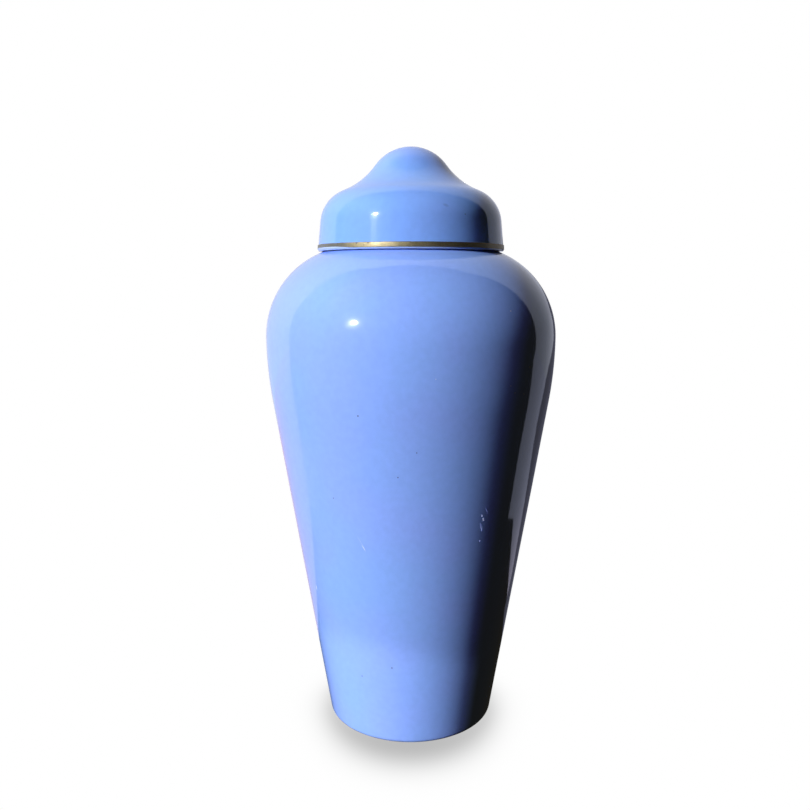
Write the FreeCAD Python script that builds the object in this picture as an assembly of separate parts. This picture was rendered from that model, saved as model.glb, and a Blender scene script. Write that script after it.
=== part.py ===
"""A lidded jar of glazed ceramic: a tall high-shouldered body on a narrow foot, and a cap lid with a swelling knob.

The jar is thrown or cast hollow, so its inside follows its outside at an even wall. A straight collar, the neck,
stands inside a flat ledge cut around the mouth. The lid is a hollow cap that drops over the neck and rests on the
ledge, and a half-round gilt band lies bedded in a shallow channel just above the lid's rim.

Lengths are millimetres. The origin is the middle of the foot's underside, and Z is the axis that all turns about.
"""
import FreeCAD, Part
import math
import os

# Jar, outside: a straight taper, a wide curve under the belly and a tighter one over the shoulder
foot_radius = 72.75
belly_radius = 124.6
belly_height = 340.5
belly_curve_radius = 334.0
shoulder_curve_radius = 77.6
foot_edge_round = 4.8

# Jar, wall, floor and foot ring
jar_wall = 6.5
floor_thickness = 9.0
floor_corner_round = 14.0
foot_ring_width = 10.0
foot_ring_height = 6.0
foot_inner_round = 1.5
recess_corner_round = 3.0

# Neck, which stands inside the lid
neck_height = 20.0
neck_wall = 6.0
neck_lip_round_share = 0.42
neck_root_round = 1.2
neck_inner_round = 4.0

# Lid: a tapered skirt, a rounded shoulder, a hollow and a domed knob, and the wall that follows them inside
lid_rim_radius = 79.5
lid_height = 87.4
lid_draft = 2.2
lid_shoulder_height = 22.7
lid_shoulder_radius = 29.8
lid_hollow_radius = 63.4
knob_radius = 37.7
lid_wall = 6.5
lid_outer_round = 1.2
lid_inner_round = 0.8

# Fit of the lid on the jar: the play around the neck, and how far the rim reaches past the ledge it rests on
lid_play = 2.8
lid_overhang = 4.0

# Gilt band: its lower edge above the rim, its height, and how far it lies in the lid and stands out of it
band_rise = 1.5
band_height = 4.0
band_bed = 0.5
band_bulge = 0.5

# Sizes that follow from the driving ones
lid_bore = lid_rim_radius - lid_wall
neck_radius = lid_bore - lid_play
neck_bore = neck_radius - neck_wall
neck_lip_round = neck_wall * neck_lip_round_share
ledge_radius = lid_rim_radius - lid_overhang
recess_radius = foot_radius - foot_ring_width
floor_top = foot_ring_height + floor_thickness


def at(radius, height):
    """A point of a profile, which is drawn in the XZ plane and turned about Z."""
    return FreeCAD.Vector(radius, 0, height)


def towards(start, end):
    """The direction from one point to another, with length 1."""
    direction = end - start
    direction.normalize()
    return direction


def lines(*points):
    """Straight edges from each point to the next."""
    return [Part.LineSegment(start, end).toShape() for start, end in zip(points, points[1:])]


def arc(centre, start, end):
    """The short way round the circle about centre, from start to end."""
    middle = towards(centre, start) + towards(centre, end)
    middle.normalize()
    return Part.Arc(start, centre + middle * (start - centre).Length, end).toShape()


def turned(edges):
    """The solid that a closed profile sweeps in one turn about Z."""
    outline = Part.Wire(Part.__sortEdges__(edges))
    return Part.Face(outline).revolve(FreeCAD.Vector(), FreeCAD.Vector(0, 0, 1), 360)


def bent(points, rounds):
    """Straight edges through the points, with every corner between the first and the last rounded."""
    edges = []
    start = points[0]
    for before, corner, after, radius in zip(points, points[1:], points[2:], rounds):
        back = towards(corner, before)
        ahead = towards(corner, after)
        half_angle = back.getAngle(ahead) / 2
        reach = radius / math.tan(half_angle)
        centre = corner + towards(corner, corner + back + ahead) * (radius / math.sin(half_angle))
        edges += lines(start, corner + back * reach)
        edges.append(arc(centre, corner + back * reach, corner + ahead * reach))
        start = corner + ahead * reach
    return edges + lines(start, points[-1])


def belly_centre():
    return at(belly_radius - belly_curve_radius, belly_height)


def shoulder_centre():
    return at(belly_radius - shoulder_curve_radius, belly_height)


def touch(start, centre, radius):
    """Where a straight line from start, rising on the outside, touches the circle about centre."""
    span = (start - centre).Length
    down = towards(centre, start)
    outwards = at(-down.z, down.x)
    return centre + (down * radius + outwards * math.sqrt(span**2 - radius**2)) * (radius / span)


def on_wall(height, inset):
    """The point of the jar's wall at this height, moved in from the outside by inset."""
    foot = at(foot_radius, 0)
    join = touch(foot, belly_centre(), belly_curve_radius)
    rise = towards(foot, join)
    base = foot + towards(join, belly_centre()) * inset
    return base + rise * ((height - base.z) / rise.z)


def on_shoulder(radius, inset):
    """The point of the jar's shoulder at this radius, moved in from the outside by inset."""
    centre = shoulder_centre()
    reach = shoulder_curve_radius - inset
    return at(radius, centre.z + math.sqrt(reach**2 - (radius - centre.x) ** 2))


def wall_top(inset):
    """Where the straight wall, moved in from the outside by inset, runs into the belly's curve."""
    belly = belly_centre()
    outer = touch(at(foot_radius, 0), belly, belly_curve_radius)
    return belly + towards(belly, outer) * (belly_curve_radius - inset)


def upper_side(end, inset):
    """Belly and shoulder, moved in from the outside by inset, from the wall's top to a point of the shoulder."""
    widest = at(belly_radius - inset, belly_height)
    return [arc(belly_centre(), wall_top(inset), widest), arc(shoulder_centre(), widest, end)]


ledge_height = on_shoulder(ledge_radius, 0).z
neck_top = ledge_height + neck_height


def jar():
    """Body, foot ring, ledge and neck in one piece, as it is fired."""
    foot = at(foot_radius, 0)
    recess_edge = at(recess_radius, 0)
    recess_corner = at(recess_radius, foot_ring_height)
    recess_middle = at(0, foot_ring_height)
    floor_middle = at(0, floor_top)
    floor_corner = on_wall(floor_top, jar_wall)
    ledge_edge = at(ledge_radius, ledge_height)
    neck_root = at(neck_radius, ledge_height)
    lip_outside = at(neck_radius, neck_top)
    lip_inside = at(neck_bore, neck_top)
    turn = on_shoulder(neck_bore + neck_inner_round, jar_wall - neck_inner_round)
    turn_top = at(neck_bore, turn.z)
    turn_end = turn + towards(turn, shoulder_centre()) * neck_inner_round

    base_rounds = (recess_corner_round, foot_inner_round, foot_edge_round)
    neck_rounds = (neck_root_round, neck_lip_round, neck_lip_round)
    base = bent((recess_middle, recess_corner, recess_edge, foot, wall_top(0)), base_rounds)
    neck = bent((ledge_edge, neck_root, lip_outside, lip_inside, turn_top), neck_rounds)
    throat = [arc(turn, turn_top, turn_end)]
    floor = bent((wall_top(jar_wall), floor_corner, floor_middle), (floor_corner_round,))
    outside = base + upper_side(ledge_edge, 0) + neck
    inside = throat + upper_side(turn_end, jar_wall) + floor
    return turned(outside + inside + lines(floor_middle, recess_middle))


def knob_centre():
    return at(0, ledge_height + lid_height - knob_radius)


def lid_shoulder_centre():
    return at(lid_rim_radius - lid_draft - lid_shoulder_radius, ledge_height + lid_shoulder_height)


def hollow_centre():
    """Centre of the hollow's arc, which touches both the knob's and the shoulder's from outside the lid."""
    knob = knob_centre()
    shoulder = lid_shoulder_centre()
    knob_reach = knob_radius + lid_hollow_radius
    shoulder_reach = lid_shoulder_radius + lid_hollow_radius
    span = (shoulder - knob).Length
    along = (knob_reach**2 - shoulder_reach**2 + span**2) / (2 * span)
    down = towards(knob, shoulder)
    outwards = at(-down.z, down.x)
    return knob + down * along + outwards * math.sqrt(knob_reach**2 - along**2)


def on_skirt(height, inset):
    """The point of the lid's skirt at this height above its rim, moved in from the outside by inset."""
    rim = at(lid_rim_radius, ledge_height)
    join = touch(rim, lid_shoulder_centre(), lid_shoulder_radius)
    rise = towards(rim, join)
    base = rim + towards(join, lid_shoulder_centre()) * inset
    return base + rise * ((ledge_height + height - base.z) / rise.z)


def skirt_top(inset):
    """Where the skirt, moved in from the outside by inset, runs into the curve of the lid's shoulder."""
    shoulder = lid_shoulder_centre()
    outer = touch(at(lid_rim_radius, ledge_height), shoulder, lid_shoulder_radius)
    return shoulder + towards(shoulder, outer) * (lid_shoulder_radius - inset)


def crown(inset):
    """Shoulder, hollow and knob of the lid, moved in from the outside by inset, from the skirt to the middle."""
    knob = knob_centre()
    hollow = hollow_centre()
    shoulder = lid_shoulder_centre()
    shoulder_end = shoulder + towards(shoulder, hollow) * (lid_shoulder_radius - inset)
    knob_start = knob + towards(knob, hollow) * (knob_radius - inset)
    knob_top = knob + at(0, knob_radius - inset)
    lower = [arc(shoulder, skirt_top(inset), shoulder_end), arc(hollow, shoulder_end, knob_start)]
    return lower + [arc(knob, knob_start, knob_top)]


def gilt_band():
    """The half-round band around the lid, with its flat back in the lid's channel."""
    lower = on_skirt(band_rise, 0)
    upper = on_skirt(band_rise + band_height, 0)
    lower_back = on_skirt(band_rise, band_bed)
    upper_back = on_skirt(band_rise + band_height, band_bed)
    crest = (lower + upper) / 2 + at(band_bulge, 0)
    front = Part.Arc(lower, crest, upper).toShape()
    return turned([front] + lines(upper, upper_back, lower_back, lower))


def lid(band):
    """The hollow cap, with a flat rim that rests on the ledge and a channel that the band fills."""
    rims = (skirt_top(lid_wall), on_skirt(0, lid_wall), on_skirt(0, 0), skirt_top(0))
    skirt = bent(rims, (lid_inner_round, lid_outer_round))
    top = at(0, ledge_height + lid_height)
    cap = turned(skirt + crown(0) + crown(lid_wall) + lines(top, top - at(0, lid_wall)))
    return cap.cut(band)


def write(name, shape):
    """Save one piece as a STEP file and print what it measures."""
    shape.exportStep("parts/" + name + ".step")
    box = shape.optimalBoundingBox()
    print(
        f"{name}: {len(shape.Solids)} solid, valid {shape.isValid()}, {shape.Volume / 1000:.1f} cm3,",
        f"{box.XLength:.1f} x {box.YLength:.1f} x {box.ZLength:.1f} mm, from {box.ZMin:.1f} up",
    )


os.makedirs("parts", exist_ok=True)
band = gilt_band()
write("jar", jar())
write("lid", lid(band))
write("gilt_band", band)
print(f"ledge {ledge_height:.2f}, neck top {neck_top:.2f}, neck bore {neck_bore:.1f}")
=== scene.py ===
# %% [markdown]
# # A lidded jar in blue glaze
#
# This lesson dresses a tall covered jar: a body that swells from a narrow foot to a high shoulder, a cap
# lid with a domed knob, and a worn gilt band around the lid's rim. The engineers' model gives the sizes
# and says what moves. Here every surface gets the look of the real thing: deep wet gloss, a slightly
# uneven wall, greyed edges where the glaze runs thin, a few chips, bare clay where the pieces stand, and
# gilding that many hands have rubbed.
#
# We start by loading that model. Its nodes arrive as loose triangles in metres, with the jar's foot at
# the origin and Z pointing up, and everything that we make goes into the same space. The box around the
# whole model is kept, because nothing that we add may grow out of it.

# %% Load the frame
import math

import bpy
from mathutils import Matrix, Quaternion, Vector


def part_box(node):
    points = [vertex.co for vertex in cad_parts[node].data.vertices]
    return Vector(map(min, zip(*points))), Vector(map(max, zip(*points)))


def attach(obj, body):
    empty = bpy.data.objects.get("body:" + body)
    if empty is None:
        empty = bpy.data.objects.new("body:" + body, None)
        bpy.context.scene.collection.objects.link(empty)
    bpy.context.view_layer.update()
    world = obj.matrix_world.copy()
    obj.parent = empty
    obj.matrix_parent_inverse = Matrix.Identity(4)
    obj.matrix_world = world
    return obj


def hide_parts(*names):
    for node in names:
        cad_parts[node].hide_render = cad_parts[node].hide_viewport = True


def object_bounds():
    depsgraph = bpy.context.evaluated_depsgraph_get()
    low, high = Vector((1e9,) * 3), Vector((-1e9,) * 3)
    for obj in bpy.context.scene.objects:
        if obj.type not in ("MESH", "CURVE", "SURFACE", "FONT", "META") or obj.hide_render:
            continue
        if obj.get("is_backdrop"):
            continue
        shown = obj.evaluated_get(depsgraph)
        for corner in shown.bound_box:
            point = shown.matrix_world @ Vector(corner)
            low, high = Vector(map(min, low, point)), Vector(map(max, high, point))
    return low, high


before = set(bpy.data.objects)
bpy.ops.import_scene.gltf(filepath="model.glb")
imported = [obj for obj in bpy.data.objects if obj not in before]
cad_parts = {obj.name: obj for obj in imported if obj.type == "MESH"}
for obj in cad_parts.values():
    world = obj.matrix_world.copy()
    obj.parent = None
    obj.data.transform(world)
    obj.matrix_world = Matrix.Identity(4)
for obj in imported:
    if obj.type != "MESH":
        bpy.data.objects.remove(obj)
cad_low, cad_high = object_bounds()
MM = 0.001
jar_low, jar_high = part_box("jar")
lid_low, lid_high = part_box("lid")
band_low, band_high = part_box("gilt_band")
for node in ("jar", "lid", "gilt_band"):
    low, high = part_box(node)
    width = (high.x - low.x) / MM
    print(f"{node}: {width:.1f} mm across, from {low.z / MM:.1f} to {high.z / MM:.1f} mm up")

# %% [markdown]
# ## Where the camera stands
#
# A picture of a round thing hides its distance, but two circles give it away: the foot and the lid's rim
# look flatter or rounder as the camera sinks or rises. Here the lens is a mild wide angle, a good 0.7 m
# away and a little above the middle of the jar, looking down by less than nine degrees. No shift and no
# blur are needed.

# %% Camera
CAMERA_PLACE = Vector((-0.0050, -0.7255, 0.3895))
CAMERA_PITCH = math.radians(8.61)
SENSOR = 36.0
LENS = 36.9

bpy.ops.object.camera_add(location=CAMERA_PLACE, rotation=(math.pi / 2 - CAMERA_PITCH, 0, 0))
camera = bpy.context.object
camera.name = "camera"
camera.data.sensor_width = SENSOR
camera.data.lens = LENS
bpy.context.scene.camera = camera
bpy.context.scene.view_settings.view_transform = "Standard"
print(f"camera: {math.degrees(2 * math.atan(SENSOR / 2 / LENS)):.0f} degrees wide")

# %% [markdown]
# ## Drawing an outline
#
# A potter cuts a rib, a curved blade, to the outline of the pot. Ours is a list of points, each a radius
# and a height. A long table of them would be hard to read or change, but a jar's outline is really a few
# straight runs and arcs that touch, so four small tools are enough: a straight run, an arc about a
# centre, a path whose corners are rounded, and the place where a straight line touches a circle. Their
# points lie evenly, because the wall is to be dented a little later, and that needs points everywhere.

# %% Outline tools
POINT_SPACING = 4 * MM
LEAST_ARC_STEPS = 8


def at(radius, height):
    return Vector((radius, height))


def run(start, end):
    """Points of a straight run, without its start."""
    count = math.ceil((end - start).length / POINT_SPACING)
    return [start.lerp(end, i / count) for i in range(1, count + 1)]


def arc(centre, start, end):
    """Points of the short way round a circle, without its start."""
    reach = start - centre
    first = math.atan2(reach.y, reach.x)
    last = math.atan2(end.y - centre.y, end.x - centre.x)
    turn = (last - first + math.pi) % (2 * math.pi) - math.pi
    count = max(LEAST_ARC_STEPS, math.ceil(abs(turn) * reach.length / POINT_SPACING))
    angles = [first + turn * i / count for i in range(1, count + 1)]
    return [centre + at(math.cos(a), math.sin(a)) * reach.length for a in angles]


def bent(points, rounds):
    """Points of straight runs through these places, without the first, each corner between rounded."""
    path = []
    start = points[0]
    for before, corner, after, radius in zip(points, points[1:], points[2:], rounds):
        back = (before - corner).normalized()
        ahead = (after - corner).normalized()
        half_angle = back.angle(ahead) / 2
        first = corner + back * (radius / math.tan(half_angle))
        last = corner + ahead * (radius / math.tan(half_angle))
        centre = corner + (back + ahead).normalized() * (radius / math.sin(half_angle))
        path += run(start, first) + arc(centre, first, last)
        start = last
    return path + run(start, points[-1])


def touch(start, centre, radius):
    """Where a straight line from start, rising on the outside, touches a circle."""
    span = (start - centre).length
    down = (start - centre).normalized()
    outwards = at(-down.y, down.x)
    return centre + (down * radius + outwards * math.sqrt(span**2 - radius**2)) * (radius / span)


# %% [markdown]
# ## Throwing on the wheel
#
# The wheel itself is one helper. It puts down a tiny plane, melts it into a single point, pulls that
# point along the outline by extruding it, and spins the finished line once round. Where the line starts
# or ends on the axis the spin leaves a heap of points, which merging closes into a proper pole. A
# primitive cylinder or sphere would be quicker, but it could not hold the flat ledge, the collar and the
# hollow lid in one skin.

# %% The wheel
TURN_STEPS = 256
SHARP_ANGLE = math.radians(18)
MERGE_DISTANCE = 0.01 * MM
SEED_SIZE = 1 * MM


def only(thing):
    """Select one object and nothing else."""
    bpy.ops.object.select_all(action="DESELECT")
    thing.select_set(True)
    bpy.context.view_layer.objects.active = thing


def throw(name, outline, steps=TURN_STEPS):
    """A closed skin, turned about Z from an outline that ends on the axis or where it began."""
    bpy.ops.object.select_all(action="DESELECT")
    bpy.ops.mesh.primitive_plane_add(size=SEED_SIZE, location=(0, 0, 0))
    piece = bpy.context.object
    piece.name = name
    piece.data.name = name
    bpy.ops.object.mode_set(mode="EDIT")
    bpy.ops.mesh.merge(type="CENTER")
    bpy.ops.transform.translate(value=(outline[0].x, 0, outline[0].y))
    for here, there in zip(outline, outline[1:]):
        step = there - here
        bpy.ops.mesh.extrude_region_move(TRANSFORM_OT_translate={"value": (step.x, 0, step.y)})
    bpy.ops.mesh.select_all(action="SELECT")
    bpy.ops.mesh.spin(steps=steps, angle=2 * math.pi, center=(0, 0, 0), axis=(0, 0, 1))
    bpy.ops.mesh.select_all(action="SELECT")
    bpy.ops.mesh.remove_doubles(threshold=MERGE_DISTANCE)
    bpy.ops.mesh.normals_make_consistent(inside=False)
    bpy.ops.object.mode_set(mode="OBJECT")
    return piece


def smooth(piece):
    only(piece)
    bpy.ops.object.shade_smooth_by_angle(angle=SHARP_ANGLE)
    print(f"{piece.name}: {len(piece.data.polygons)} faces")


# %% [markdown]
# ## The uneven wall
#
# A cast or thrown wall is never a perfect surface of revolution. The edges of the reflections wander a
# little as they run down it, and that is how the eye tells a pot from a plastic model. Bump in the
# material could fake this, yet it would be missing from the mesh. Instead a cloud texture pushes the
# finished skin inwards by up to about a fifth of a millimetre. It only ever pushes inwards, so that the
# piece stays in its box and no seat is blocked.

# %% Uneven wall
WAVE_SIZE = 90 * MM
WAVE_DEPTH = 0.22 * MM
WAVE_DETAIL = 1
ONLY_INWARDS = 1.0


def hand_made(piece):
    """Push the skin in unevenly."""
    clouds = bpy.data.textures.new(f"{piece.name}_waves", "CLOUDS")
    clouds.noise_scale = WAVE_SIZE
    clouds.noise_depth = WAVE_DETAIL
    only(piece)
    bpy.ops.object.modifier_add(type="DISPLACE")
    waves = piece.modifiers[-1]
    waves.texture = clouds
    waves.texture_coords = "LOCAL"
    waves.mid_level = ONLY_INWARDS
    waves.strength = WAVE_DEPTH
    bpy.ops.object.modifier_apply(modifier=waves.name)
    print(f"{piece.name}: pressed in by up to {WAVE_DEPTH / MM} mm")


# %% [markdown]
# ## The jar
#
# The jar is one piece of clay: foot ring, tapered wall, belly, shoulder, a flat ledge for the lid to sit
# on, and a collar that keeps the lid from sliding off. Outside and inside are drawn as one closed
# outline, from the middle of the underside, over the lip and down to the middle of the floor, so the
# wall has a real thickness that shows when the lid is off. The belly's width and the collar's top are
# read from the frame.

# %% Jar outline
FOOT_RADIUS = 72.75 * MM
BELLY_RADIUS = jar_high.x
BELLY_HEIGHT = 340.5 * MM
BELLY_CURVE = 334 * MM
SHOULDER_CURVE = 77.6 * MM
JAR_WALL = 6.5 * MM
FLOOR_TOP = 15 * MM
RECESS_RADIUS = 62.75 * MM
RECESS_HEIGHT = 6 * MM
NECK_RADIUS = 70.2 * MM
NECK_BORE = 64.2 * MM
NECK_TOP = jar_high.z
LEDGE_RADIUS = 75.5 * MM
LEDGE_HEIGHT = lid_low.z
THROAT_ROUND = 4 * MM
BASE_ROUNDS = (3 * MM, 1.5 * MM, 4.8 * MM)
NECK_ROUNDS = (1.2 * MM, 2.5 * MM, 2.5 * MM)
FLOOR_ROUND = 14 * MM

foot = at(FOOT_RADIUS, 0)
belly_centre = at(BELLY_RADIUS - BELLY_CURVE, BELLY_HEIGHT)
shoulder_centre = at(BELLY_RADIUS - SHOULDER_CURVE, BELLY_HEIGHT)


def wall_top(inset):
    outer = touch(foot, belly_centre, BELLY_CURVE)
    return outer + (belly_centre - outer).normalized() * inset


def on_shoulder(radius, inset):
    reach = SHOULDER_CURVE - inset
    return at(radius, shoulder_centre.y + math.sqrt(reach**2 - (radius - shoulder_centre.x) ** 2))


def jar_outline():
    inwards = (wall_top(JAR_WALL) - wall_top(0)).normalized()
    wall_foot = foot + inwards * JAR_WALL
    rise = (wall_top(JAR_WALL) - wall_foot).normalized()
    floor_corner = wall_foot + rise * ((FLOOR_TOP - wall_foot.y) / rise.y)
    throat = on_shoulder(NECK_BORE + THROAT_ROUND, JAR_WALL - THROAT_ROUND)
    throat_top = at(NECK_BORE, throat.y)
    throat_end = throat + (shoulder_centre - throat).normalized() * THROAT_ROUND
    ledge = at(LEDGE_RADIUS, LEDGE_HEIGHT)
    recess = (at(0, RECESS_HEIGHT), at(RECESS_RADIUS, RECESS_HEIGHT), at(RECESS_RADIUS, 0))
    neck = (at(NECK_RADIUS, LEDGE_HEIGHT), at(NECK_RADIUS, NECK_TOP), at(NECK_BORE, NECK_TOP))

    path = [recess[0]] + bent((*recess, foot, wall_top(0)), BASE_ROUNDS)
    path += arc(belly_centre, wall_top(0), at(BELLY_RADIUS, BELLY_HEIGHT))
    path += arc(shoulder_centre, at(BELLY_RADIUS, BELLY_HEIGHT), ledge)
    path += bent((ledge, *neck, throat_top), NECK_ROUNDS)
    path += arc(throat, throat_top, throat_end)
    path += arc(shoulder_centre, throat_end, at(BELLY_RADIUS - JAR_WALL, BELLY_HEIGHT))
    path += arc(belly_centre, at(BELLY_RADIUS - JAR_WALL, BELLY_HEIGHT), wall_top(JAR_WALL))
    path += bent((wall_top(JAR_WALL), floor_corner, at(0, FLOOR_TOP)), (FLOOR_ROUND,))
    return path


jar = throw("glazed_jar", jar_outline())
hand_made(jar)
smooth(jar)

# %% [markdown]
# ## The lid
#
# The lid is a hollow cap. From the rim a nearly upright skirt runs into a rounded shoulder, the shoulder
# sweeps up through a hollow, and that ends in the dome of the knob. The three arcs touch, so the gloss
# runs over them with no kink. The centre of the hollow's arc is the one place that can't be typed in: it
# lies where two circles cross. The inside follows at an even wall.

# %% Lid outline
LID_RIM_RADIUS = 79.5 * MM
LID_DRAFT = 2.2 * MM
LID_SHOULDER_HEIGHT = 22.7 * MM
LID_SHOULDER_CURVE = 29.8 * MM
LID_HOLLOW_CURVE = 63.4 * MM
KNOB_CURVE = 37.7 * MM
LID_WALL = 6.5 * MM
RIM_ROUNDS = (0.8 * MM, 1.2 * MM)

lid_rim = at(LID_RIM_RADIUS, LEDGE_HEIGHT)
knob_centre = at(0, lid_high.z - KNOB_CURVE)
lid_shoulder_centre = at(
    LID_RIM_RADIUS - LID_DRAFT - LID_SHOULDER_CURVE, LEDGE_HEIGHT + LID_SHOULDER_HEIGHT
)


def crossing(first, first_reach, second, second_reach):
    """Where two circles cross, on the side that lies outside the lid."""
    span = (second - first).length
    along = (first_reach**2 - second_reach**2 + span**2) / (2 * span)
    towards = (second - first).normalized()
    return first + towards * along + at(-towards.y, towards.x) * math.sqrt(first_reach**2 - along**2)


hollow_centre = crossing(
    knob_centre, KNOB_CURVE + LID_HOLLOW_CURVE, lid_shoulder_centre, LID_SHOULDER_CURVE + LID_HOLLOW_CURVE
)


def skirt_top(inset):
    outer = touch(lid_rim, lid_shoulder_centre, LID_SHOULDER_CURVE)
    return outer + (lid_shoulder_centre - outer).normalized() * inset


def on_skirt(rise, inset):
    """The point of the skirt at this height over the rim, moved in from the outside."""
    inwards = (skirt_top(LID_WALL) - skirt_top(0)).normalized()
    base = lid_rim + inwards * inset
    slope = (skirt_top(0) - lid_rim).normalized()
    return base + slope * ((lid_rim.y + rise - base.y) / slope.y)


def crown(inset):
    """Shoulder, hollow and knob from the skirt's top to the axis, moved in from the outside."""
    to_hollow = (hollow_centre - lid_shoulder_centre).normalized()
    to_knob = (hollow_centre - knob_centre).normalized()
    shoulder_end = lid_shoulder_centre + to_hollow * (LID_SHOULDER_CURVE - inset)
    knob_start = knob_centre + to_knob * (KNOB_CURVE - inset)
    path = [skirt_top(inset)] + arc(lid_shoulder_centre, skirt_top(inset), shoulder_end)
    path += arc(hollow_centre, shoulder_end, knob_start)
    return path + arc(knob_centre, knob_start, knob_centre + at(0, KNOB_CURVE - inset))


def lid_outline():
    rims = (skirt_top(LID_WALL), on_skirt(0, LID_WALL), on_skirt(0, 0), skirt_top(0))
    inside = crown(LID_WALL)
    inside.reverse()
    return inside + bent(rims, RIM_ROUNDS) + crown(0)[1:]


lid = throw("glazed_lid", lid_outline())
hand_made(lid)
smooth(lid)

# %% [markdown]
# ## The gilt band
#
# The band is a gilded ring, four millimetres high, bedded in the lid's skirt just above the rim. Its
# face is nearly flat: it leans back a little, and its two corners are rounded, so that each catches a
# thread of light. Its outline is a closed loop, so the same wheel turns it, in many more steps than the
# pots, because its edge is the finest line on the jar.

# %% Gilt band
BAND_BED = 0.5 * MM
BAND_LEAN = 0.2 * MM
BAND_ROUND = 0.35 * MM
BAND_STEPS = 720


def band_outline():
    low = band_low.z - LEDGE_HEIGHT
    high = band_high.z - LEDGE_HEIGHT
    lower_back = on_skirt(low, BAND_BED)
    upper_back = on_skirt(high, BAND_BED)
    lower_front = at(band_high.x, on_skirt(low, 0).y)
    upper_front = at(band_high.x - BAND_LEAN, on_skirt(high, 0).y)
    corners = (lower_back, lower_front, upper_front, upper_back)
    return [lower_back] + bent(corners, (BAND_ROUND, BAND_ROUND)) + run(upper_back, lower_back)


band = throw("worn_gilt_band", band_outline(), BAND_STEPS)
smooth(band)

# %% [markdown]
# ## Small hands for the materials
#
# Glaze, clay and gilding are all built from nodes, with the same few moves: put down a node, fill its
# sockets with a number or with another node's result, and mix. With a helper for each move the recipes
# read as recipes.

# %% Node helpers
def new_material(name):
    """A new material and its node tree."""
    material = bpy.data.materials.new(name)
    material.use_nodes = True
    return material, material.node_tree


def shader_of(tree):
    """The shader that every new material starts with."""
    return tree.nodes["Principled BSDF"]


def fill(tree, socket, value):
    """Link a socket to another node's output, or set it to a plain value."""
    if isinstance(value, bpy.types.NodeSocket):
        tree.links.new(value, socket)
    else:
        socket.default_value = value


def calc(tree, operation, first, second):
    """One sum of two numbers, named as in the Math node."""
    math_node = tree.nodes.new("ShaderNodeMath")
    math_node.operation = operation
    fill(tree, math_node.inputs[0], first)
    fill(tree, math_node.inputs[1], second)
    return math_node.outputs[0]


def ramp(tree, value, low, high, to_low=0.0, to_high=1.0):
    """Carry the range from low to high over to another range, and stop at its ends."""
    carry = tree.nodes.new("ShaderNodeMapRange")
    names = ("Value", "From Min", "From Max", "To Min", "To Max")
    for name, amount in zip(names, (value, low, high, to_low, to_high)):
        fill(tree, carry.inputs[name], amount)
    return carry.outputs[0]


def blend(tree, share, first, second):
    """Mix two colours. The share is how much of the second shows."""
    mix = tree.nodes.new("ShaderNodeMix")
    mix.data_type = "RGBA"
    fill(tree, mix.inputs[0], share)
    fill(tree, mix.inputs[6], first)
    fill(tree, mix.inputs[7], second)
    return mix.outputs[2]


def rgb(red, green, blue):
    return (red, green, blue, 1)


def finished(material, colour, roughness, normal):
    """Link a material's three patterns to its shader, and hand it back."""
    tree = material.node_tree
    shader = shader_of(tree)
    for name, pattern in (("Base Color", colour), ("Roughness", roughness), ("Normal", normal)):
        tree.links.new(pattern, shader.inputs[name])
    print(f"{material.name}: {len(tree.nodes)} nodes")
    return material


# %% [markdown]
# Every pattern reads Object coordinates, which are metres on the piece itself. So a size in a recipe is
# a size on the pot, and the pattern stays put when the lid is lifted. Most patterns are patches: noise
# that runs through a ramp. A recipe writes each of them as one row, with the size of the lumps, how fine
# their detail is, and the ramp.

# %% Reading the surface
SOFT, FINE, FINEST = 2, 3, 4


def on_piece(tree):
    """Places on the piece, in metres."""
    return tree.nodes.new("ShaderNodeTexCoord").outputs["Object"]


def coordinate(tree, where, axis):
    """One of the three numbers of a place: X, Y or Z."""
    split = tree.nodes.new("ShaderNodeSeparateXYZ")
    tree.links.new(where, split.inputs[0])
    return split.outputs[axis]


def distance(tree, where):
    """How far a place is from the origin."""
    length = tree.nodes.new("ShaderNodeVectorMath")
    length.operation = "LENGTH"
    tree.links.new(where, length.inputs[0])
    return length.outputs["Value"]


def noise(tree, where, size, detail=SOFT):
    """Soft noise from 0 to 1, with lumps of about this size."""
    texture = tree.nodes.new("ShaderNodeTexNoise")
    fill(tree, texture.inputs["Vector"], where)
    texture.inputs["Scale"].default_value = 1 / size
    texture.inputs["Detail"].default_value = detail
    return texture.outputs[0]


def patches(tree, where, size, detail, *edges):
    """Noise that a ramp turns into patches."""
    return ramp(tree, noise(tree, where, size, detail), *edges)


def bumped(tree, pattern, depth):
    """Normals that follow a pattern, as if the surface rose and fell by this depth."""
    bump = tree.nodes.new("ShaderNodeBump")
    bump.inputs["Distance"].default_value = depth
    fill(tree, bump.inputs["Height"], pattern)
    return bump.outputs[0]


# %% [markdown]
# ## Marks of use
#
# An old jar carries a few marks that can be counted: a flea bite where something knocked against it,
# short scratches, a pit where a bubble burst in the kiln. Noise can't place them, because they belong to
# one spot each. So a mark is a tiny ellipsoid in space, set on the wall at its own angle and height, and
# the glaze takes another colour where the wall passes through it. A Mapping node of the texture kind
# moves, turns and stretches space so that the ellipsoid becomes a ball of radius one, and then the
# length of the vector is all that has to be read.

# %% Marks in one place
MARK_DEPTH = 1.5 * MM
MARK_EDGE = 0.45


def in_ellipsoid(tree, where, middle, turn, size):
    """How far out a place lies in an ellipsoid: 0 in its middle, 1 on its skin, and more outside."""
    move = tree.nodes.new("ShaderNodeMapping")
    move.vector_type = "TEXTURE"
    tree.links.new(where, move.inputs["Vector"])
    move.inputs["Location"].default_value = middle
    move.inputs["Rotation"].default_value = turn
    move.inputs["Scale"].default_value = size
    return distance(tree, move.outputs[0])


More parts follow.
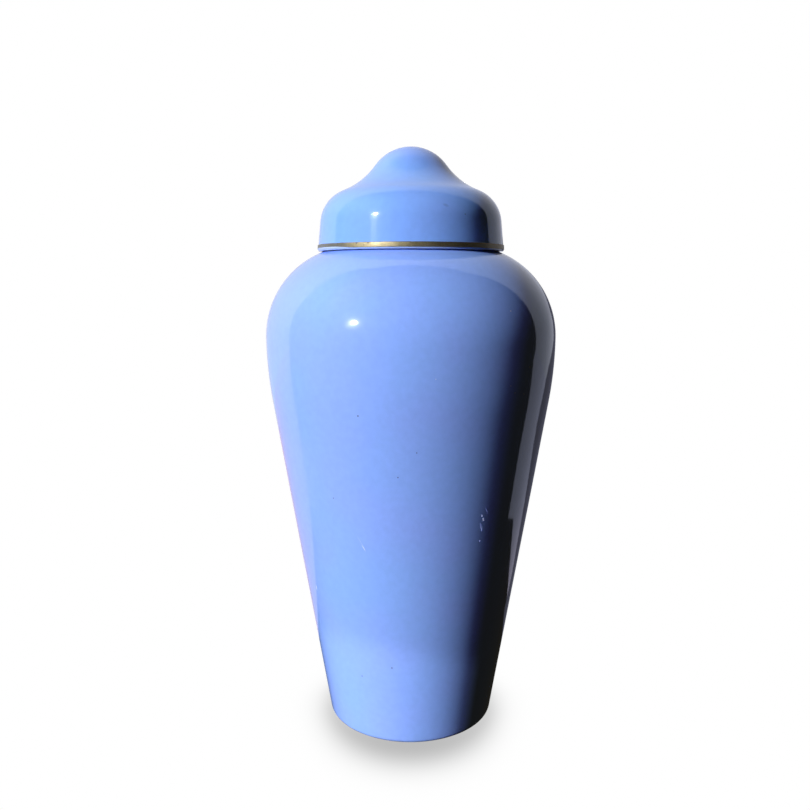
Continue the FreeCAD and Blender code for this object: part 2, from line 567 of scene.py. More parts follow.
def mark(tree, where, place, half_width, half_length, lean, share):
    """The share within a small ellipsoid on the wall, 0 outside. Place is angle, height and radius."""
    angle, height, radius = place
    turn = math.radians(angle)
    middle = (radius * math.sin(turn), -radius * math.cos(turn), height)
    size = (half_width, MARK_DEPTH, half_length)
    out = in_ellipsoid(tree, where, middle, (0, math.radians(lean), turn), size)
    return ramp(tree, out, 1 - MARK_EDGE, 1 + MARK_EDGE, share, 0)


def marks(tree, where, rows, share=0.0):
    """The share of whichever mark is strongest here, over a share that is there already."""
    for row in rows:
        share = calc(tree, "MAXIMUM", share, mark(tree, where, *row))
    return share


# %% [markdown]
# Dust and pinholes that lie anywhere are left to Voronoi cells. The wall cuts through few of the cells'
# middles, which leaves sparse dots of several sizes. A recipe gives the size of the cells and the
# largest dot's radius.

# %% Dots anywhere
DOT_MIDDLE = 0.6
DOT_EDGE = 1.2


def specks(tree, where, cell, radius):
    """Sparse dots of up to this radius, where the wall cuts the middle of a Voronoi cell."""
    cells = tree.nodes.new("ShaderNodeTexVoronoi")
    tree.links.new(where, cells.inputs["Vector"])
    cells.inputs["Scale"].default_value = 1 / cell
    reach = radius / cell
    return ramp(tree, cells.outputs["Distance"], DOT_MIDDLE * reach, DOT_EDGE * reach, 1, 0)


def shifted(tree, where, offset):
    """The same places, moved, so that two patterns with cells of one kind don't fall together."""
    move = tree.nodes.new("ShaderNodeMapping")
    tree.links.new(where, move.inputs["Vector"])
    move.inputs["Location"].default_value = (offset, offset, offset)
    return move.outputs[0]


# %% [markdown]
# ## The blue glaze
#
# The colour is a soft periwinkle under a glass-like skin. One flat blue would look like paint, so the
# colour has layers. Two close blues, one a touch more violet and one a touch greener, wander into each
# other over a hand's width, as a glaze does that was poured. A finer mottle of a few millimetres sits on
# top, at two or three per cent. Where the glaze thins out over an edge, the clay greys it.

# %% Glaze colour
POUR = (75 * MM, SOFT, 0.35, 0.65)
MOTTLE = (5 * MM, FINE, 0.3, 0.7, 0.975, 1.025)
THIN_GLAZE = rgb(0.47, 0.51, 0.67)


def glaze_colour(tree, where, violet, green, thin):
    scale = tree.nodes.new("ShaderNodeVectorMath")
    scale.operation = "SCALE"
    fill(tree, scale.inputs[0], blend(tree, patches(tree, where, *POUR), violet, green))
    fill(tree, scale.inputs["Scale"], patches(tree, where, *MOTTLE))
    return blend(tree, thin, scale.outputs[0], THIN_GLAZE)


# %% [markdown]
# The shine is the shader's own gloss. Old wiping makes it duller in places, and the knob, where the lid
# is always gripped, is dullest. Over it lies the film that a cloth leaves: a thin, rougher coat, which
# draws a faint veil round bright reflections. A very shallow bump keeps the reflections alive. Pits,
# dust and chips are dull. A chip is also a break, a small facet that doesn't follow the wall. So inside
# it the normal is a fixed one that looks towards the sun, and even a chip near the shaded side lights
# up.

# %% Glaze shine and breaks
WIPED = (28 * MM, FINEST, 0.5, 0.8, 0, 0.015)
GLAZE_ROUGHNESS = 0.05
GRIPPED_ROUGHNESS = 0.15
SPOT_ROUGHNESS = 0.4
PEEL_SIZE = 9 * MM
PEEL_DEPTH = 0.012 * MM
FACET = (-0.65, -0.70, 0.30)


def glaze_roughness(tree, where, gripped, spots):
    roughness = calc(tree, "ADD", patches(tree, where, *WIPED), GLAZE_ROUGHNESS)
    roughness = calc(tree, "ADD", roughness, calc(tree, "MULTIPLY", gripped, GRIPPED_ROUGHNESS))
    for spot in spots:
        roughness = calc(tree, "ADD", roughness, calc(tree, "MULTIPLY", spot, SPOT_ROUGHNESS))
    return roughness


def broken(tree, normal, knocks):
    """The normal, or a chip's facet. A colour mix would cut its negative numbers off."""
    facet = tree.nodes.new("ShaderNodeMix")
    facet.data_type = "VECTOR"
    fill(tree, facet.inputs[0], knocks)
    fill(tree, facet.inputs[4], normal)
    fill(tree, facet.inputs[5], FACET)
    return facet.outputs[1]


# %% [markdown]
# Now the recipe puts colour, spots, shine and normals together. The jar and the lid each get their own
# mix of the same recipe, and the lid's is a little darker and bluer.

# %% Glaze recipe
PINHOLES = (27 * MM, 0.5 * MM)
DUST_DOTS = (21 * MM, 0.3 * MM)
DUST_SHIFT = 7 * MM
PIT_DARK = rgb(0.03, 0.035, 0.09)
DUST_PALE = rgb(0.72, 0.77, 0.88)
CHIP_PALE = rgb(0.50, 0.57, 1)
JAR_FILM = (0.06, 0.22)


def glaze(name, violet, green, thin=None, gripped=None, pits=(), dust=(), chips=(), film=JAR_FILM):
    """A glaze of two near blues. thin and gripped are ramps over the height."""
    material, tree = new_material(name)
    where = on_piece(tree)
    height = coordinate(tree, where, "Z")
    elsewhere = shifted(tree, where, DUST_SHIFT)
    holes = marks(tree, where, pits, specks(tree, where, *PINHOLES))
    grains = marks(tree, where, dust, specks(tree, elsewhere, *DUST_DOTS))
    knocks = marks(tree, where, chips)
    thinness = ramp(tree, height, *thin) if thin else 0.0
    grip = ramp(tree, height, *gripped) if gripped else 0.0

    colour = glaze_colour(tree, where, violet, green, thinness)
    for share, spot in ((holes, PIT_DARK), (grains, DUST_PALE), (knocks, CHIP_PALE)):
        colour = blend(tree, share, colour, spot)
    normal = bumped(tree, noise(tree, where, PEEL_SIZE), PEEL_DEPTH)
    if chips:
        normal = broken(tree, normal, knocks)
    roughness = glaze_roughness(tree, where, grip, (holes, grains, knocks))
    shader = shader_of(tree)
    shader.inputs["Coat Weight"].default_value = film[0]
    shader.inputs["Coat Roughness"].default_value = film[1]
    return finished(material, colour, roughness, normal)


# %% [markdown]
# ## The jar's glaze
#
# The marks of this jar are written as angle from the front in degrees and height in millimetres, then
# half the width and half the length in millimetres, the lean in degrees and the share. The radius comes
# from the outline, so only the place on the wall is given. The glaze is thin on the collar's
# lip, which a ramp over the height says: from where, to where, and the share at either end.

# %% The jar's marks
def wall_radius(height):
    """Radius of the jar's outside at this height."""
    if height < wall_top(0).y:
        return foot.x + (wall_top(0).x - foot.x) * height / wall_top(0).y
    if height < BELLY_HEIGHT:
        return belly_centre.x + math.sqrt(BELLY_CURVE**2 - (height - BELLY_HEIGHT) ** 2)
    return shoulder_centre.x + math.sqrt(SHOULDER_CURVE**2 - (height - BELLY_HEIGHT) ** 2)


def on_jar(angle, height, half_width, half_length=None, lean=0, share=1.0):
    place = (angle, height * MM, wall_radius(height * MM))
    return place, half_width * MM, (half_length or half_width) * MM, lean, share


CHIPS = (
    on_jar(32.6, 201.4, 0.70, 1.3, -29),
    on_jar(31.6, 204.9, 0.55, 1.2, -29, 0.8),
    on_jar(31.9, 194.6, 0.50, 3.6, -19, 0.6),
    on_jar(33.9, 208.2, 0.30, 3.2, -31, 0.35),
    on_jar(32.0, 183.3, 0.55, 0.55, 0, 0.8),
    on_jar(-21.5, 180.0, 0.35, 2.6, -29, 0.8),
    on_jar(-22.6, 184.5, 0.22, 7.0, -29, 0.3),
    on_jar(-58.6, 129.5, 0.60, 2.2, 0, 0.9),
)
PITS = (
    on_jar(-19.5, 288.5, 0.55),
    on_jar(-10.7, 73.7, 0.55),
    on_jar(-29.7, 60.9, 0.50),
    on_jar(1.9, 260.8, 0.40),
)
DUST = (
    on_jar(38.6, 365.8, 0.45),
    on_jar(47.9, 322.1, 0.45),
    on_jar(38.0, 309.0, 0.40),
    on_jar(40.5, 303.1, 0.40),
    on_jar(45.8, 301.2, 0.35),
)
print(f"{len(CHIPS)} chips and scratches, {len(PITS)} pits, {len(DUST)} grains of dust")

# %% The jar's glaze
JAR_VIOLET = rgb(0.250, 0.385, 0.92)
JAR_GREEN = rgb(0.235, 0.400, 0.91)
LIP_FADE = 2.5 * MM
THIN_ON_LIP = (NECK_TOP - LIP_FADE, NECK_TOP, 0, 0.7)
jar_glaze = glaze("blue_glaze", JAR_VIOLET, JAR_GREEN, THIN_ON_LIP, pits=PITS, dust=DUST, chips=CHIPS)

# %% [markdown]
# ## The lid's glaze
#
# On the lid the glaze is thin along the rim, below the gilt band: there the skirt shows a narrow
# grey-blue edge all the way round. Upwards of the shoulder the shine gets softer, towards the knob. Two
# dark smudges sit on the curve of the shoulder.

# %% The lid's glaze
LID_VIOLET = rgb(0.208, 0.360, 0.875)
LID_GREEN = rgb(0.190, 0.378, 0.875)
LID_FILM = (0.05, 0.25)
RIM_FADE = 0.3 * MM
THIN_ON_RIM = (band_low.z - RIM_FADE, band_low.z + RIM_FADE, 0.5, 0)
GRIPPED_KNOB = (LEDGE_HEIGHT + 45 * MM, LEDGE_HEIGHT + 70 * MM, 0.1, 1)


def on_lid(angle, rise, half_width, half_length, lean, share):
    """A mark on the curve of the lid's shoulder, at this height over the rim."""
    height = LEDGE_HEIGHT + rise * MM
    over_centre = height - lid_shoulder_centre.y
    radius = lid_shoulder_centre.x + math.sqrt(LID_SHOULDER_CURVE**2 - over_centre**2)
    return (angle, height, radius), half_width * MM, half_length * MM, lean, share


SMUDGES = (on_lid(20.6, 33.4, 2.2, 1.1, 20, 0.25), on_lid(33.0, 27.0, 0.5, 0.5, 0, 0.7))
lid_glaze = glaze("lid_glaze", LID_VIOLET, LID_GREEN, THIN_ON_RIM, GRIPPED_KNOB, SMUDGES, film=LID_FILM)

# %% [markdown]
# ## Liner glaze and bare clay
#
# Two more finishes only show when the jar is opened or turned over. A jar is glazed inside by filling it
# with thin glaze and pouring that out again, which leaves a paler coat. And where glaze would glue it to
# the kiln shelf or to its lid, the potter wipes it off: the foot ring, the ledge and the lid's flat rim
# stay bare clay, pale, dry and a little gritty. Grit is noise of less than a millimetre in the bump, and
# a few iron specks.

# %% Liner and clay
LINER_VIOLET = rgb(0.47, 0.57, 0.84)
LINER_GREEN = rgb(0.44, 0.58, 0.83)
CLAY_PALE = rgb(0.66, 0.61, 0.53)
CLAY_WARM = rgb(0.56, 0.49, 0.41)
CLAY_PATCHES = (14 * MM, SOFT, 0.35, 0.65)
IRON = rgb(0.16, 0.09, 0.05)
IRON_DOTS = (5 * MM, 0.25 * MM)
GRIT_SIZE = 0.8 * MM
GRIT_DEPTH = 0.08 * MM
GRIT_SHINE = (GRIT_SIZE, SOFT, 0.3, 0.7, 0.72, 0.92)


def bare_clay():
    material, tree = new_material("bare_clay")
    where = on_piece(tree)
    colour = blend(tree, patches(tree, where, *CLAY_PATCHES), CLAY_PALE, CLAY_WARM)
    colour = blend(tree, specks(tree, where, *IRON_DOTS), colour, IRON)
    normal = bumped(tree, noise(tree, where, GRIT_SIZE), GRIT_DEPTH)
    return finished(material, colour, patches(tree, where, *GRIT_SHINE), normal)


liner = glaze("liner_glaze", LINER_VIOLET, LINER_GREEN)
clay = bare_clay()

# %% [markdown]
# ## Worn gilding
#
# The band was gilded once and has been wiped ever since. What is left is dull: a metal with a broad,
# soft shine instead of a mirror. It is greyest at the far left, where along its lower edge the gilding
# has gone down to the glaze. A dark line along its upper edge is partly tarnish, where a cloth doesn't
# reach, and partly painted shadow, paler on the sunlit left. Towards the right the colour is darkened as
# painted shade, for the side turned away from the sun. In small patches and nicks the gilding is rubbed
# down to a dark ground. A clean yellow metal would be too loud here.

# %% Gilding, where it has worn
WORN_FROM = -46 * MM
WORN_TO = -62 * MM
WORN_HEIGHT = 1.1 * MM
WORN_EDGE = 0.1 * MM
# The dark line along the band's upper edge is partly tarnish and partly painted shadow, weaker on the
# sunlit left.
TARNISH_AND_SHADOW_LINE = 0.5 * MM
TARNISH_AND_SHADOW_RAMP = (-60 * MM, 20 * MM, 0.2, 0.9)


def on_band(angle, height, half_width, half_height, share):
    """A nick in the band's face."""
    return (angle, height * MM, band_high.x), half_width * MM, half_height * MM, 0, share


NICKS = (
    on_band(-47.5, 417.6, 0.50, 0.45, 0.9),
    on_band(-32.5, 417.4, 0.75, 0.60, 1.0),
    on_band(-25.0, 417.5, 0.85, 0.65, 1.0),
    on_band(-21.0, 417.9, 0.45, 0.35, 0.7),
    on_band(-55.0, 415.4, 0.50, 0.40, 0.6),
    on_band(-1.5, 414.3, 0.90, 0.35, 0.7),
    on_band(33.0, 416.2, 0.50, 0.40, 0.6),
)


def tarnish_and_shadow_edge(tree, height, sideways):
    """Along the upper edge a dark line, partly tarnish and partly painted shadow, less of it on the
    sunlit far left.
    """
    upper = ramp(tree, height, band_high.z - TARNISH_AND_SHADOW_LINE, band_high.z - TARNISH_AND_SHADOW_LINE / 3)
    return calc(tree, "MULTIPLY", upper, ramp(tree, sideways, *TARNISH_AND_SHADOW_RAMP))


def worn_away(tree, height, sideways):
    """Where the lower edge is worn down to the glaze, higher and higher towards the far left."""
    wear = ramp(tree, sideways, WORN_TO, WORN_FROM, WORN_HEIGHT, 0)
    above_wear = calc(tree, "SUBTRACT", calc(tree, "SUBTRACT", height, band_low.z), wear)
    return ramp(tree, above_wear, -WORN_EDGE, WORN_EDGE, 1, 0)


print(f"{len(NICKS)} nicks in the gilding")

# %% Gilding recipe
GOLD = rgb(0.40, 0.34, 0.20)
GREYED = rgb(0.31, 0.315, 0.29)
# Dark tarnish, also used for the painted shade on the right and along the upper edge.
TARNISH_AND_SHADE = rgb(0.14, 0.11, 0.06)
GROUND = rgb(0.060, 0.055, 0.048)
BARE_GLAZE = rgb(0.42, 0.53, 0.86)
GILT_METAL = 0.9
GILT_SHINE = (7 * MM, SOFT, 0.3, 0.7, 0.42, 0.54)
STAINS = (21 * MM, FINE, 0.4, 0.7, 0, 0.35)
# Towards the right the band is darkened as painted shade, for the side turned away from the sun.
RIGHT_SHADE_RAMP = (10 * MM, 60 * MM, 0, 0.7)
RUBBED = (7 * MM, FINEST, 0.66, 0.74)
SCRATCH_SIZE = 1.1 * MM
SCRATCH_DEPTH = 0.05 * MM
SCRATCHES = (SCRATCH_SIZE, FINE, 0.35, 0.65, 0, 0.35)


def gilding():
    material, tree = new_material("worn_gilt")
    where = on_piece(tree)
    height = coordinate(tree, where, "Z")
    sideways = coordinate(tree, where, "X")
    stains = patches(tree, where, *STAINS)
    scratches = patches(tree, where, *SCRATCHES)
    # Painted shade: the colour darkens towards the right.
    painted_shade_right = ramp(tree, sideways, *RIGHT_SHADE_RAMP)
    # The upper edge's dark line: partly tarnish, partly painted shadow.
    edge = tarnish_and_shadow_edge(tree, height, sideways)
    rubbed = marks(tree, where, NICKS, patches(tree, where, *RUBBED))
    worn_off = worn_away(tree, height, sideways)
    gone = calc(tree, "MAXIMUM", rubbed, worn_off)

    colour = blend(tree, ramp(tree, sideways, WORN_FROM, WORN_TO), GOLD, GREYED)
    # Stains and scratches are tarnish; the darkening to the right and along the upper edge is partly
    # painted shade.
    for share in (stains, scratches, painted_shade_right, edge):
        colour = blend(tree, share, colour, TARNISH_AND_SHADE)
    colour = blend(tree, rubbed, colour, GROUND)
    colour = blend(tree, worn_off, colour, BARE_GLAZE)
    tree.links.new(ramp(tree, gone, 0, 1, GILT_METAL, 0), shader_of(tree).inputs["Metallic"])
    normal = bumped(tree, noise(tree, where, SCRATCH_SIZE, FINE), SCRATCH_DEPTH)
    return finished(material, colour, patches(tree, where, *GILT_SHINE), normal)


gilt = gilding()

# %% [markdown]
# ## Which face gets which finish
#
# Glaze and bare clay meet on one skin, so the faces are sorted by place and direction. A face whose
# normal looks towards the axis is inside. A level face on the foot, the ledge or the lid's rim is bare.

# %% Sorting the faces
OUTSIDE, INSIDE, BARE = 0, 1, 2
LEVEL = 0.97
FOOT_BARE = 0.8 * MM
FLOOR_PLAY = 1 * MM
LEDGE_PLAY = 0.3 * MM
RIM_PLAY = 0.4 * MM
SEAT_RADIUS = LEDGE_RADIUS + 0.5 * MM
LID_INSIDE_LOW = LEDGE_HEIGHT + 5 * MM
LEANS_INWARDS = -0.1


def outward(face):
    """How far a face's normal looks away from the axis."""
    place = Vector((face.center.x, face.center.y, 0)).normalized()
    return face.normal.dot(place)


def inside_jar(face):
    over_floor = FLOOR_TOP - FLOOR_PLAY < face.center.z < LEDGE_HEIGHT
    on_floor = face.normal.z > LEVEL and face.center.z < FLOOR_TOP + FLOOR_ROUND
    return over_floor and (outward(face) < 0 or on_floor)


def bare_on_jar(face):
    on_foot = face.center.z < FOOT_BARE and face.normal.z < 0
    on_ledge = face.normal.z > LEVEL and abs(face.center.z - LEDGE_HEIGHT) < LEDGE_PLAY
    return on_foot or on_ledge


def inside_lid(face):
    ceiling = face.normal.z < 0 and face.center.z > LID_INSIDE_LOW
    return outward(face) < LEANS_INWARDS or ceiling


def bare_on_lid(face):
    on_seat = face.center.x**2 + face.center.y**2 < SEAT_RADIUS**2
    on_rim = face.normal.z < -LEVEL and face.center.z < LEDGE_HEIGHT + RIM_PLAY
    return on_seat and on_rim


# %% [markdown]
# Each skin gets three material slots, outside, inside and bare, and every face the number of its slot.
# The band has one finish all over.

# %% Giving out the finishes
def finish_skin(piece, finishes, is_inside, is_bare):
    piece.data.materials.clear()
    for finish in finishes:
        piece.data.materials.append(finish)
    counts = [0, 0, 0]
    for face in piece.data.polygons:
        kind = INSIDE if is_inside(face) else OUTSIDE
        if is_bare(face):
            kind = BARE
        face.material_index = kind
        counts[kind] += 1
    print(f"{piece.name}: {counts[OUTSIDE]} faces outside, {counts[INSIDE]} inside, {counts[BARE]} bare")


finish_skin(jar, (jar_glaze, liner, clay), inside_jar, bare_on_jar)
finish_skin(lid, (lid_glaze, liner, clay), inside_lid, bare_on_lid)
band.data.materials.clear()
band.data.materials.append(gilt)
print(f"{band.name}: all {len(band.data.polygons)} faces gilt")

# %% [markdown]
# ## Handing the pieces to the frame
#
# Each piece stands in for the plain node of the same thing and moves with that node's body: the band
# belongs to the lid and rises with it.

# %% Hand over to the frame
for piece, body, node, finish in (
    (jar, "jar", "jar", "blue_glaze"),
    (lid, "lid", "lid", "blue_glaze"),
    (band, "lid", "gilt_band", "gilt"),
):
    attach(piece, body)
    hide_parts(node)
    print(f"{piece.name} replaces {node} and rides on {body}")

# %% [markdown]
# ## Light: one low sun
#
# The shape comes from one low sun at the front left, which turns the body from light to nearly black
# across its width. Three lamps share its work, because each is easier to place alone: shade_sun lights
# the glaze, sky_light, weaker and a few degrees nearer to the camera, adds the violet blue of the sky
# around the sun, and glint_sun, which gloss alone sees, sets the glints. At this strength a wall that
# faces the camera renders about as its colour is written. far_sun stands straight behind: it reaches
# nothing that the camera sees, but keeps the far side readable when somebody walks round the jar.

# %% Suns
GLINT_AZIMUTH = -45.8
GLINT_HEIGHT = 20.8
WHITE = (1, 1, 1)
# Name, azimuth and height in degrees, strength, width in degrees, colour, and the rays that don't see it
SUNS = (
    ("shade_sun", -51.5, 20.5, 1.475, 5, (0.950, 1, 0.858), "glossy"),
    ("sky_light", -44.8, 19, 0.35, 5, (0.53, 0.40, 1), "glossy"),
    ("glint_sun", GLINT_AZIMUTH, GLINT_HEIGHT, 1.2, 2.5, WHITE, "diffuse"),
    ("far_sun", 180, 15, 0.8, 20, WHITE, "glossy"),
)


def direction(azimuth, height):
    """Towards this azimuth from the camera's side, and this height over the floor, both in degrees."""
    turn = math.radians(azimuth)
    tilt = math.radians(height)
    level = math.cos(tilt)
    return Vector((math.sin(turn) * level, -math.cos(turn) * level, math.sin(tilt)))


def hide_from(thing, *rays):
    """Make a thing invisible to these kinds of ray."""
    for ray in rays:
        setattr(thing, f"visible_{ray}", False)


for name, azimuth, height, strength, width, colour, blind in SUNS:
    source = direction(azimuth, height)
    bpy.ops.object.light_add(type="SUN", location=source)
    lamp = bpy.context.object
    lamp.name = name
    lamp.rotation_euler = source.to_track_quat("Z", "Y").to_euler()
    lamp.data.energy = strength * math.pi
    lamp.data.angle = math.radians(width)
    lamp.data.color = colour
    hide_from(lamp, blind)
    print(f"{name}: strength {lamp.data.energy:.2f}, from {azimuth} degrees, {height} degrees up")

# %% [markdown]
# ## Light thrown back by the ground
#
# Sunlit ground lights what stands on it, so the foot is brighter than the wall above it, up to a soft,
# slanting edge. A lamp on the ground would spill up into the belly. A spot on the sun's side, aimed so
# low that only the top edge of its cone crosses the body, gives that edge. Stretching it sideways
# flattens the edge, and a roll of a few degrees slants it.

# %% Spot for the foot
LOW_DISTANCE = 3.0
LOW_AZIMUTH = -39
LOW_HEIGHT = 22.5
LOW_AIM = Vector((0, 0, -0.739))
LOW_ROLL = math.radians(4)
LOW_STRETCH = 3
LOW_CONE = math.radians(26)
LOW_EDGE = 0.07
LOW_RADIUS = 5 * MM
LOW_WATTS = 152
LOW_COLOUR = (0.64, 0.60, 0.64)

low_place = direction(LOW_AZIMUTH, LOW_HEIGHT) * LOW_DISTANCE
low_turn = (LOW_AIM - low_place).to_track_quat("-Z", "Y") @ Quaternion((0, 0, 1), LOW_ROLL)
bpy.ops.object.light_add(type="SPOT", location=low_place)
low_light = bpy.context.object
low_light.name = "low_light"
low_light.rotation_euler = low_turn.to_euler()
low_light.scale = (LOW_STRETCH, 1, 1)
low_light.data.spot_size = LOW_CONE
low_light.data.spot_blend = LOW_EDGE
low_light.data.energy = LOW_WATTS
low_light.data.color = LOW_COLOUR
low_light.data.shadow_soft_size = LOW_RADIUS
hide_from(low_light, "camera", "glossy")
print(f"low_light: {LOW_WATTS} W, {low_place.z:.2f} m up")

# %% [markdown]
# ## What the gloss sees
#
# A glossy pot is a mirror, and half of its look is the room in it. This one stands on pale ground in
# front of a pale wall, with darkness behind the camera. So the middle of the body, which mirrors the
# dark, shows pure colour, and only its flanks and shoulder, which look back past the pot, catch the
# wall. The straight edges inside the gloss are the ends of that wall. The room is made of flat cards
# that only gloss rays see, so that it lights nothing: a Light Path node tells the kinds of ray apart.

# %% Cards that only gloss sees
def ray_glow(name, output, strength):
    """Emission that one kind of ray sees. No lamp sampling uses it."""
    material = bpy.data.materials.new(name)
    material.use_nodes = True
    material.cycles.emission_sampling = "NONE"
    tree = material.node_tree
    tree.nodes.clear()
    path = tree.nodes.new("ShaderNodeLightPath")
    glow = tree.nodes.new("ShaderNodeEmission")
    out = tree.nodes.new("ShaderNodeOutputMaterial")
    level = strength(tree) if callable(strength) else strength
    tree.links.new(calc(tree, "MULTIPLY", path.outputs[output], level), glow.inputs["Strength"])
    tree.links.new(glow.outputs[0], out.inputs["Surface"])
    return material, tree, glow


def sheet(name, corners, strength, colour=None):
    """A flat card that only gloss sees. Strength and colour are plain or a recipe for nodes."""
    mesh = bpy.data.meshes.new(name)
    mesh.from_pydata(corners, [], [list(range(len(corners)))])
    card = bpy.data.objects.new(name, mesh)
    bpy.context.scene.collection.objects.link(card)
    material, tree, glow = ray_glow(name, "Is Glossy Ray", strength)
    if colour is not None:
        fill(tree, glow.inputs["Color"], colour(tree) if callable(colour) else colour)
    card.data.materials.append(material)
    hide_from(card, "camera", "diffuse", "shadow", "transmission")
    card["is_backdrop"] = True
    print(f"{name}: card with {len(corners)} corners")


def lying(outline, height=0):
    """Corners on the ground or just above it, from places to the right and backwards."""
    return [(x, y, height) for x, y in outline]


def standing(outline, distance):
    """Corners on an upright wall behind the pot, from places to the right and upwards."""
    return [(x, distance, z) for x, z in outline]


def across(tree, *edges):
    """A ramp from left to right over a card."""
    return ramp(tree, coordinate(tree, on_piece(tree), "X"), *edges)


def upwards(tree, *edges):
    """A ramp from the foot of a card to its top."""
    return ramp(tree, coordinate(tree, on_piece(tree), "Z"), *edges)


# %% [markdown]
# The wall fades from left to right, because the low sun lit its left end more, and turns cooler on the
# way. It gets brighter upwards and ends softly at its top. A tuple of four numbers is a ramp again.

# %% The pale wall
WALL_DISTANCE = 1.20
WALL_LEFT = -4.2
WALL_RIGHT = 3.35
WALL_TOP = 7.3
BRIGHT = 0.95
DIM = 0.535
SKY_GAIN = (0.5, 2.5, 1, 1.5)
TOP_FADE = (6.5, WALL_TOP, 1, 0)
WALL_COLOURS = (rgb(1, 0.97, 1), rgb(0.90, 0.96, 1.20))
WALL = ((WALL_LEFT, 0), (WALL_RIGHT, 0), (WALL_RIGHT, WALL_TOP), (WALL_LEFT, WALL_TOP))


def wall_light(tree):
    fade = across(tree, WALL_LEFT / 2, WALL_RIGHT / 2, BRIGHT, DIM)
    gain = calc(tree, "MULTIPLY", fade, upwards(tree, *SKY_GAIN))
    return calc(tree, "MULTIPLY", gain, upwards(tree, *TOP_FADE))


def wall_colour(tree):
    return blend(tree, across(tree, WALL_LEFT / 2, WALL_RIGHT / 2), *WALL_COLOURS)


sheet("pale_wall", standing(WALL, WALL_DISTANCE), wall_light, wall_colour)

# %% [markdown]
# The ground starts just behind the pot. It turns from a warm tone on the left to a cool one on the
# right, and a darker strip lies in front of its left part.

# %% The ground
GROUND_EDGE = 0.5
GROUND_COLOURS = (rgb(1.15, 0.80, 1), rgb(0.88, 0.93, 1.25))
STRIP_LEVEL = 0.25
LEFT_EDGE = ((-0.232, 0.120), (-0.489, 0.116), (-0.712, 0.160), (-0.876, 0.200))
WALL_FOOT = ((WALL_LEFT, WALL_DISTANCE), (WALL_RIGHT, WALL_DISTANCE))
RIGHT_EDGE = ((2.3, 0.68), (0.887, 0.231), (0.7, 0.149), (0.46, 0.077), (0.449, 0.165), (0.25, 0.161))
DIM_GROUND = ((-0.471, -0.005), (-0.600, 0.023), (-0.716, 0.057), (-0.712, 0.160), (-0.489, 0.116))


def ground_light(tree):
    return across(tree, WALL_LEFT / 2, GROUND_EDGE, BRIGHT, DIM)


def ground_colour(tree):
    return blend(tree, across(tree, -GROUND_EDGE, GROUND_EDGE), *GROUND_COLOURS)


sheet("pale_ground", lying(LEFT_EDGE + WALL_FOOT + RIGHT_EDGE), ground_light, ground_colour)
sheet("dim_ground", lying(DIM_GROUND), STRIP_LEVEL)

# %% [markdown]
# The pot's own long shadow falls over the ground behind it to the right and climbs the wall, and the
# gloss on the right flank mirrors it. Two dark cards stand for it, a hair above the ground and a
# finger's width in front of the wall.

# %% The pot's shadow in the gloss
SHADOW_LEVEL = 0.125
SHADOW_COLOUR = rgb(0.90, 0.90, 1.25)
SHADOW_LIFT = 1 * MM
SHADOW_DISTANCE = 1.19
SHADOW_START = ((-0.05, 0.10), (0.20, 0.13), (0.262, 0.225), (0.350, 0.309), (0.459, 0.402))
SHADOW_END = ((0.765, 0.597), (0.920, 0.759), (1.30, SHADOW_DISTANCE), (0.20, SHADOW_DISTANCE))
SHADOW_FOOT = ((0.30, 0), (1.30, 0), (1.16, 0.100), (0.82, 0.235))
SHADOW_TOP = ((0.77, 0.363), (0.77, 0.458), (0.67, 0.500), (0.30, 0.500))
shadow_on_ground = lying(SHADOW_START + SHADOW_END, SHADOW_LIFT)
shadow_on_wall = standing(SHADOW_FOOT + SHADOW_TOP, SHADOW_DISTANCE)
sheet("shadow_on_ground", shadow_on_ground, SHADOW_LEVEL, SHADOW_COLOUR)
sheet("shadow_on_wall", shadow_on_wall, SHADOW_LEVEL, SHADOW_COLOUR)

# %% [markdown]
# Around the sun the sky is never quite dark. A card in the sun's direction, an oval that fades to
# nothing at its edge, puts a soft glow round the glint, which otherwise looks punched out. Its middle
# stands a little above the sun: the lid's upright skirt mirrors whatever lies a few degrees below the
# sun as one long vertical streak, and there the oval has to end. A second, much wider and paler oval
# stands for the blue sky high on the left.

# %% Haze and sky
OVAL_SIDES = 32
# Name, azimuth, height, distance, half its width and height, strength, how fast it fades, and colour
OVALS = (
    ("haze", GLINT_AZIMUTH - 0.7, GLINT_HEIGHT + 4, 3.0, (0.40, 0.48), 9.0, 2.5, WHITE),
    ("blue_sky", -85, 45, 5.0, (5.0, 2.7), 1.3, 1.0, (0.5, 0.8, 1.1)),
)


def glowing_oval(name, place, size, strength, fall, colour):
    """A card that faces the pot, bright in its middle and fading to nothing at its edge."""
    turn = place.to_track_quat("Z", "Y")
    angles = [2 * math.pi * i / OVAL_SIDES for i in range(OVAL_SIDES)]
    edge = [Vector((math.cos(a) * size[0], math.sin(a) * size[1], 0)) for a in angles]

    def fading(tree):
        out = in_ellipsoid(tree, on_piece(tree), place, turn.to_euler(), (*size, 1))
        near = ramp(tree, out, 0, 1, 1, 0)
        return calc(tree, "MULTIPLY", calc(tree, "POWER", near, fall), strength)

    sheet(name, [place + turn @ corner for corner in edge], fading, rgb(*colour))


for name, azimuth, height, reach, size, strength, fall, colour in OVALS:
    glowing_oval(name, direction(azimuth, height) * reach, size, strength, fall, colour)

# %% [markdown]
# ## Floor and background
#
# The picture has a plain pale ground without an edge. The floor is white to the camera alone, so that it
# can't wash the pot out with light. What seats the jar is a soft shadow round its foot. An Ambient
# Occlusion node would draw one, but with a hard dark line where foot and floor touch. So the shadow is
# written out as a bell curve over the gap between a place on the floor and the foot's edge: in front of
# the foot it is wide and deep, at the sides and behind it is narrow and pale.

# %% Floor
FLOOR_SIZE = 12
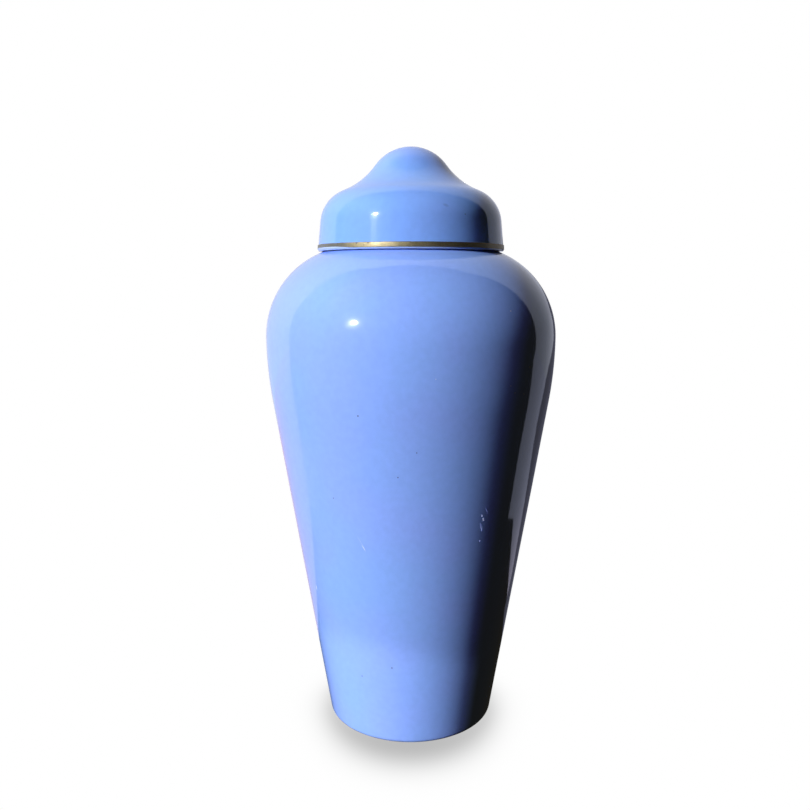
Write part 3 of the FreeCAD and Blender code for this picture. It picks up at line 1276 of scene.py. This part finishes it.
# How late each one changes, its value at the foot's side, and its value in front of the foot
SHADOW_DEPTH = (1.1, 0.29, 0.50)
SHADOW_WIDTH = (3.0, 13 * MM, 36.5 * MM)
SHADOW_SHAPE = (2.0, 1.4, 2.3)


def from_side_to_front(tree, front, power, at_side, in_front):
    """A value that changes from the foot's side to its front, later with a higher power."""
    return ramp(tree, calc(tree, "POWER", front, power), 0, 1, at_side, in_front)


def floor_light(tree):
    """1 on open floor, and less in the shadow round the foot."""
    where = on_piece(tree)
    reach = distance(tree, where)
    backwards = calc(tree, "MULTIPLY", reach, -1.0)
    towards_front = calc(tree, "DIVIDE", coordinate(tree, where, "Y"), backwards)
    front = calc(tree, "MAXIMUM", towards_front, 0.0)
    gap = calc(tree, "MAXIMUM", calc(tree, "SUBTRACT", reach, FOOT_RADIUS), 0.0)
    depth = from_side_to_front(tree, front, *SHADOW_DEPTH)
    width = from_side_to_front(tree, front, *SHADOW_WIDTH)
    shape = from_side_to_front(tree, front, *SHADOW_SHAPE)
    fall = calc(tree, "POWER", calc(tree, "DIVIDE", gap, width), shape)
    bell = calc(tree, "EXPONENT", calc(tree, "MULTIPLY", fall, -1.0), 0.0)
    return calc(tree, "SUBTRACT", 1.0, calc(tree, "MULTIPLY", bell, depth))


bpy.ops.mesh.primitive_plane_add(size=FLOOR_SIZE, location=(0, 0, 0))
floor = bpy.context.object
floor.name = "floor"
material, tree, glow = ray_glow("floor", "Is Camera Ray", 1.0)
fill(tree, glow.inputs["Color"], floor_light(tree))
floor.data.materials.append(material)
hide_from(floor, "diffuse", "glossy", "shadow")
floor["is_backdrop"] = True
print(f"floor: {FLOOR_SIZE} m wide, with a shadow of up to {SHADOW_WIDTH[-1] / MM} mm")

# %% [markdown]
# The world is white to the camera. To all else it is nearly black, so the shade stays deep.

# %% World
AMBIENT = 0.02
AMBIENT_WARM = rgb(1, 0.8, 0.45)
BACKGROUND = rgb(1, 1, 1)

world = bpy.data.worlds.new("studio")
bpy.context.scene.world = world
world.use_nodes = True
tree = world.node_tree
background = tree.nodes["Background"]
to_camera = tree.nodes.new("ShaderNodeLightPath").outputs["Is Camera Ray"]
fill(tree, background.inputs["Strength"], ramp(tree, to_camera, 0, 1, AMBIENT, 1.0))
fill(tree, background.inputs["Color"], blend(tree, to_camera, AMBIENT_WARM, BACKGROUND))
print(f"world: strength {AMBIENT} to all but the camera")

# %% [markdown]
# ## Sizes, and the end
#
# The dressed model has to stay in the box that the engineers gave it. The last lines print how many
# millimetres of room it leaves in that box, at the low corner and at the high one.

# %% Sizes and finish
new_low, new_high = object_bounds()
low_room = [f"{(b - a) / MM:.2f}" for a, b in zip(cad_low, new_low)]
high_room = [f"{(a - b) / MM:.2f}" for a, b in zip(cad_high, new_high)]
print("mm of room left in the frame's box:", low_room, "at its low corner,", high_room, "at its high one")
